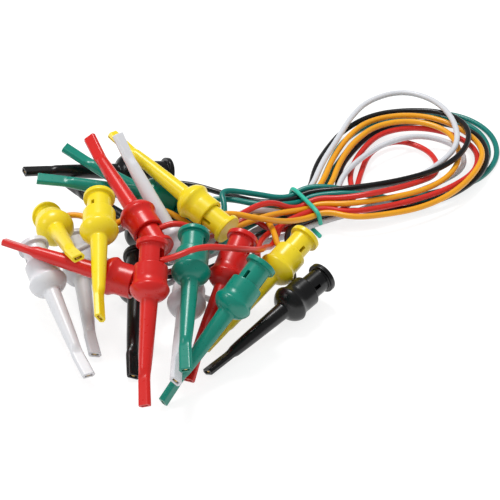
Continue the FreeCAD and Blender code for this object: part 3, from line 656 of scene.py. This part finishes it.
for clip in CLIPS:
    colour = clip.split("_")[0]
    plunger = placed_copy(plunger_pattern, clip + "_plunger_moulding", clip)
    plunger.data.materials.append(bpy.data.materials["nylon_" + colour])
    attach(plunger, clip + "_press_part")
    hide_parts(clip + "_plunger")
bpy.data.objects.remove(plunger_pattern)

# Hooks. One springy wire of gold-plated beryllium copper, 0.7 mm thick, runs from the end disc through
# the spring to the tip, where it turns back on itself. The lead's strands are soldered to it in the
# plunger.
HOOK_RADIUS = 0.35
HOOK_BEND = 0.75
HOOK_BEND_LEVEL = 1.25
HOOK_END_LEVEL = 2.2
HOOK_BEND_STEPS = 12
HOOK_EDGE_ANGLE = math.radians(50)
SOLDER_BEAD = (
    (0, 48.45), (0.36, 48.5), (0.55, 48.8), (0.74, 49.2), (0.8, 49.55), (0.72, 49.95), (0.52, 50.4),
    (0.36, 50.7), (0, 50.75),
)
STRANDS_LEVEL = 49.55
STRANDS_REACH = 1.15
STRANDS_RADIUS = 0.55


def plated_wire(name, colour, roughness):
    """Drawn wire with a bright surface whose gloss changes from one very fine mark to the next."""
    material, tree = blank_material(name)
    place = add(tree, "ShaderNodeTexCoord").outputs["Object"]
    marks = noise(tree, place, 2500.0, 2.0)
    gloss = add(tree, "ShaderNodeMapRange", {
        "Value": marks, "To Min": roughness * 0.7, "To Max": roughness * 1.4})
    bump = add(tree, "ShaderNodeBump", {"Height": marks, "Strength": 0.1, "Distance": 0.00005})
    shader = add(tree, "ShaderNodeBsdfPrincipled", {
        "Base Color": linear(colour), "Metallic": 1.0, "Roughness": gloss.outputs["Result"],
        "Normal": bump.outputs["Normal"]})
    add(tree, "ShaderNodeOutputMaterial", {"Surface": shader.outputs["BSDF"]})
    return material


def plain_mesh(piece):
    """The piece's curve as a mesh."""
    mesh = bpy.data.meshes.new_from_object(piece.evaluated_get(bpy.context.evaluated_depsgraph_get()))
    name = piece.name
    bpy.data.objects.remove(piece)
    mesh.name = name
    return mesh


path = [(0, 0, STEM_TOP), (0, 0, HOOK_BEND_LEVEL)]
for step in range(1, HOOK_BEND_STEPS + 1):
    angle = math.pi * step / HOOK_BEND_STEPS
    path.append((HOOK_BEND * (1 - math.cos(angle)), 0, HOOK_BEND_LEVEL - HOOK_BEND * math.sin(angle)))
path.append((2 * HOOK_BEND, 0, HOOK_END_LEVEL))
hook_mesh = plain_mesh(rod_curve("hook", path, HOOK_RADIUS, "POLY"))
solder = skinned("solder", lathe_rings([Vector(place) for place in SOLDER_BEAD])).data
strands_path = [(0, 0, STRANDS_LEVEL), (STRANDS_REACH, 0, STRANDS_LEVEL)]
strands = plain_mesh(rod_curve("strands", strands_path, STRANDS_RADIUS, "POLY"))
joined = bmesh.new()
for mesh, slot_number in ((hook_mesh, 0), (solder, 1), (strands, 1)):
    known = len(joined.faces)
    joined.from_mesh(mesh)
    joined.faces.ensure_lookup_table()
    for face in joined.faces[known:]:
        face.material_index = slot_number
        face.smooth = True
joined.to_mesh(hook_mesh)
joined.free()
hook_mesh.set_sharp_from_angle(angle=HOOK_EDGE_ANGLE)
hook_pattern = bpy.data.objects.new("hook", hook_mesh)
hook_metal = plated_wire("gold_plated_copper", "#D9B36A", 0.22)
solder_metal = plated_wire("tin_solder", "#B9BCC0", 0.34)
for clip in CLIPS:
    hook = placed_copy(hook_pattern, clip + "_hook_wire", clip)
    hook.data.materials.clear()
    hook.data.materials.append(hook_metal)
    hook.data.materials.append(solder_metal)
    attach(hook, clip + "_press_part")
    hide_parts(clip + "_hook")
bpy.data.objects.remove(hook_pattern)

# Return springs. A stainless coil round each hook's stem stands on a ledge in the barrel and pushes the
# plunger out. At rest it reaches from that ledge up to its seat in the plunger.
SPRING_TURNS = 9.0
SPRING_RADIUS = 1.475
SPRING_WIRE_RADIUS = 0.2


def coil_tree():
    """Geometry nodes that wind a coil spring."""
    tree = bpy.data.node_groups.new("wound_coil", "GeometryNodeTree")
    tree.interface.new_socket("Geometry", in_out="INPUT", socket_type="NodeSocketGeometry")
    for name in ("Turns", "Radius", "Wire radius", "Foot", "Height"):
        tree.interface.new_socket(name, in_out="INPUT", socket_type="NodeSocketFloat")
    tree.interface.new_socket("Finish", in_out="INPUT", socket_type="NodeSocketMaterial")
    tree.interface.new_socket("Geometry", in_out="OUTPUT", socket_type="NodeSocketGeometry")
    given = add(tree, "NodeGroupInput").outputs
    winding = add(tree, "GeometryNodeCurveSpiral", {
        "Resolution": 16, "Rotations": given["Turns"], "Start Radius": given["Radius"],
        "End Radius": given["Radius"], "Height": given["Height"]})
    section = add(tree, "GeometryNodeCurvePrimitiveCircle", {
        "Resolution": 8, "Radius": given["Wire radius"]})
    wound = add(tree, "GeometryNodeCurveToMesh", {
        "Curve": winding.outputs["Curve"], "Profile Curve": section.outputs["Curve"], "Fill Caps": True})
    foot = add(tree, "ShaderNodeCombineXYZ", {"Z": given["Foot"]})
    raised = add(tree, "GeometryNodeTransform", {
        "Geometry": wound.outputs["Mesh"], "Translation": foot.outputs["Vector"]})
    solid = add(tree, "GeometryNodeRealizeInstances", {"Geometry": raised.outputs["Geometry"]})
    finished = add(tree, "GeometryNodeSetMaterial", {
        "Geometry": solid.outputs["Geometry"], "Material": given["Finish"]})
    add(tree, "NodeGroupOutput", {"Geometry": finished.outputs["Geometry"]})
    return tree


spring_pattern = bpy.data.objects.new("spring", bpy.data.meshes.new("spring"))
bpy.context.scene.collection.objects.link(spring_pattern)
by_nodes(spring_pattern, coil_tree(), {
    "Turns": SPRING_TURNS, "Radius": SPRING_RADIUS, "Wire radius": SPRING_WIRE_RADIUS,
    "Foot": LEDGE_LEVEL + SPRING_WIRE_RADIUS, "Height": SEAT_LEVEL - LEDGE_LEVEL - 2 * SPRING_WIRE_RADIUS,
    "Finish": plated_wire("stainless_spring_wire", "#9FA2A6", 0.28)})
spring_pattern.data.shade_smooth()
for clip, place in LIES.items():
    spring = placed_copy(spring_pattern, clip + "_return_spring", clip)
    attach(spring, "lead_set")
    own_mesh(spring)
    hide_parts("return_springs")
bpy.data.objects.remove(spring_pattern)

# Tie. A length of soft iron wire in thin smooth plastic is laid once round the bundle. It starts on the
# table in front, passes under the wires and over them, and its cut end hangs down beside its start.
TIE_PLACE = Vector((0.047, 0.0432, 0.00495))
TIE_HEADING = math.radians(30.0)
TIE_RADIUS = 0.0008
TIE_HALF_WIDTH = 9.4
TIE_HALF_HEIGHT = 4.15
TIE_TAIL = 2.5
TIE_DROP = 5.0
TIE_STEP = 0.85
TIE_BEND_ACROSS = 1.6
TIE_BEND_UP = 1.4
# From the start on the table under the bundle, up its far side, over it and down its near side.
tie_points = [
    (-TIE_STEP, -TIE_HALF_WIDTH - TIE_TAIL, -TIE_HALF_HEIGHT),
    (-TIE_STEP, -TIE_HALF_WIDTH + 2, -TIE_HALF_HEIGHT),
    (-TIE_STEP, 0, -TIE_HALF_HEIGHT),
    (-TIE_STEP, TIE_HALF_WIDTH - TIE_BEND_ACROSS, -TIE_HALF_HEIGHT),
    (-0.5, TIE_HALF_WIDTH, -TIE_HALF_HEIGHT + TIE_BEND_UP),
    (0, TIE_HALF_WIDTH, TIE_HALF_HEIGHT - TIE_BEND_UP),
    (0, TIE_HALF_WIDTH - TIE_BEND_ACROSS, TIE_HALF_HEIGHT),
    (0, 0, TIE_HALF_HEIGHT + 0.1),
    (0, -TIE_HALF_WIDTH + TIE_BEND_ACROSS, TIE_HALF_HEIGHT),
    (0.3, -TIE_HALF_WIDTH, TIE_HALF_HEIGHT - TIE_BEND_UP),
    (TIE_STEP, -TIE_HALF_WIDTH, TIE_HALF_HEIGHT - TIE_DROP),
]
swing = Matrix.Rotation(TIE_HEADING, 3, "Z")
tie_route = [TIE_PLACE + swing @ Vector(point) * MILLIMETRE for point in tie_points]
tie_curve = rod_curve("twist_tie", tie_route, TIE_RADIUS)
tie = bpy.data.objects.new("twist_tie", plain_mesh(tie_curve))
bpy.context.scene.collection.objects.link(tie)
tie.data.shade_smooth()
tie.data.materials.clear()
tie.data.materials.append(extruded_pvc("pvc_tie_coat", "#30C0A6", "#22AD94"))
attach(tie, "lead_set")
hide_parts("tie")

# Table and light. The set was photographed on white under a broad light from above and behind, with a
# smaller one to the left. The table shows as white paper, and keeps a faint shadow.
FLOOR_HALF = 3.0
HEAP_CENTRE = Vector((0.02, 0.02, 0.02))
ROOM_LIGHT = 0.74
ROOM_SHINE = 0.24


def calculated(tree, operation, first, second):
    """What this operation makes of two values, each a number or another node's output."""
    return add(tree, "ShaderNodeMath", {0: first, 1: second}, operation=operation).outputs[0]


def white_paper(name):
    """Matt white card that shows as plain white from any side, with soft shadows."""
    material, tree = blank_material(name)
    ray = add(tree, "ShaderNodeLightPath").outputs
    mirrored = calculated(tree, "MAXIMUM", ray["Is Camera Ray"], ray["Is Glossy Ray"])
    seen = calculated(tree, "MAXIMUM", mirrored, ray["Is Transmission Ray"])
    paper = mixed(tree, seen, (0.8, 0.8, 0.8, 1), (0.3, 0.3, 0.3, 1))
    card = add(tree, "ShaderNodeBsdfDiffuse", {"Color": paper})
    light = add(tree, "ShaderNodeEmission", {"Strength": calculated(tree, "MULTIPLY", seen, 0.8)})
    both = add(tree, "ShaderNodeAddShader", {0: card.outputs[0], 1: light.outputs[0]})
    add(tree, "ShaderNodeOutputMaterial", {"Surface": both.outputs[0]})
    return material


corner_signs = ((-1, -1), (1, -1), (1, 1), (-1, 1))
floor_corners = [(across * FLOOR_HALF, along * FLOOR_HALF, 0) for across, along in corner_signs]
floor_mesh = bpy.data.meshes.new("table")
floor_mesh.from_pydata(floor_corners, [], [(0, 1, 2, 3)])
table = bpy.data.objects.new("table", floor_mesh)
table.data.materials.append(white_paper("white_card"))
bpy.context.scene.collection.objects.link(table)

world = bpy.data.worlds.new("studio")
bpy.context.scene.world = world
world.use_nodes = True
world.node_tree.nodes.clear()
ray = add(world.node_tree, "ShaderNodeLightPath").outputs
room = add(world.node_tree, "ShaderNodeMapRange", {
    "Value": ray["Is Glossy Ray"], "To Min": ROOM_LIGHT, "To Max": ROOM_SHINE})
strength = calculated(world.node_tree, "MAXIMUM", room.outputs["Result"], ray["Is Camera Ray"])
sky = add(world.node_tree, "ShaderNodeBackground", {"Color": (1, 1, 1, 1), "Strength": strength})
add(world.node_tree, "ShaderNodeOutputWorld", {"Surface": sky.outputs["Background"]})


def softbox(name, place, width, height, power):
    """A rectangular lamp that faces the heap."""
    data = bpy.data.lights.new(name, "AREA")
    data.shape = "RECTANGLE"
    data.size = width
    data.size_y = height
    data.energy = power
    lamp = bpy.data.objects.new(name, data)
    lamp.location = place
    lamp.rotation_euler = (HEAP_CENTRE - Vector(place)).to_track_quat("-Z", "Y").to_euler()
    bpy.context.scene.collection.objects.link(lamp)


softbox("overhead", (-0.15, 0.35, 1.0), 0.35, 0.25, 6.0)
softbox("side", (-0.8, -0.2, 0.7), 0.16, 0.16, 1.5)
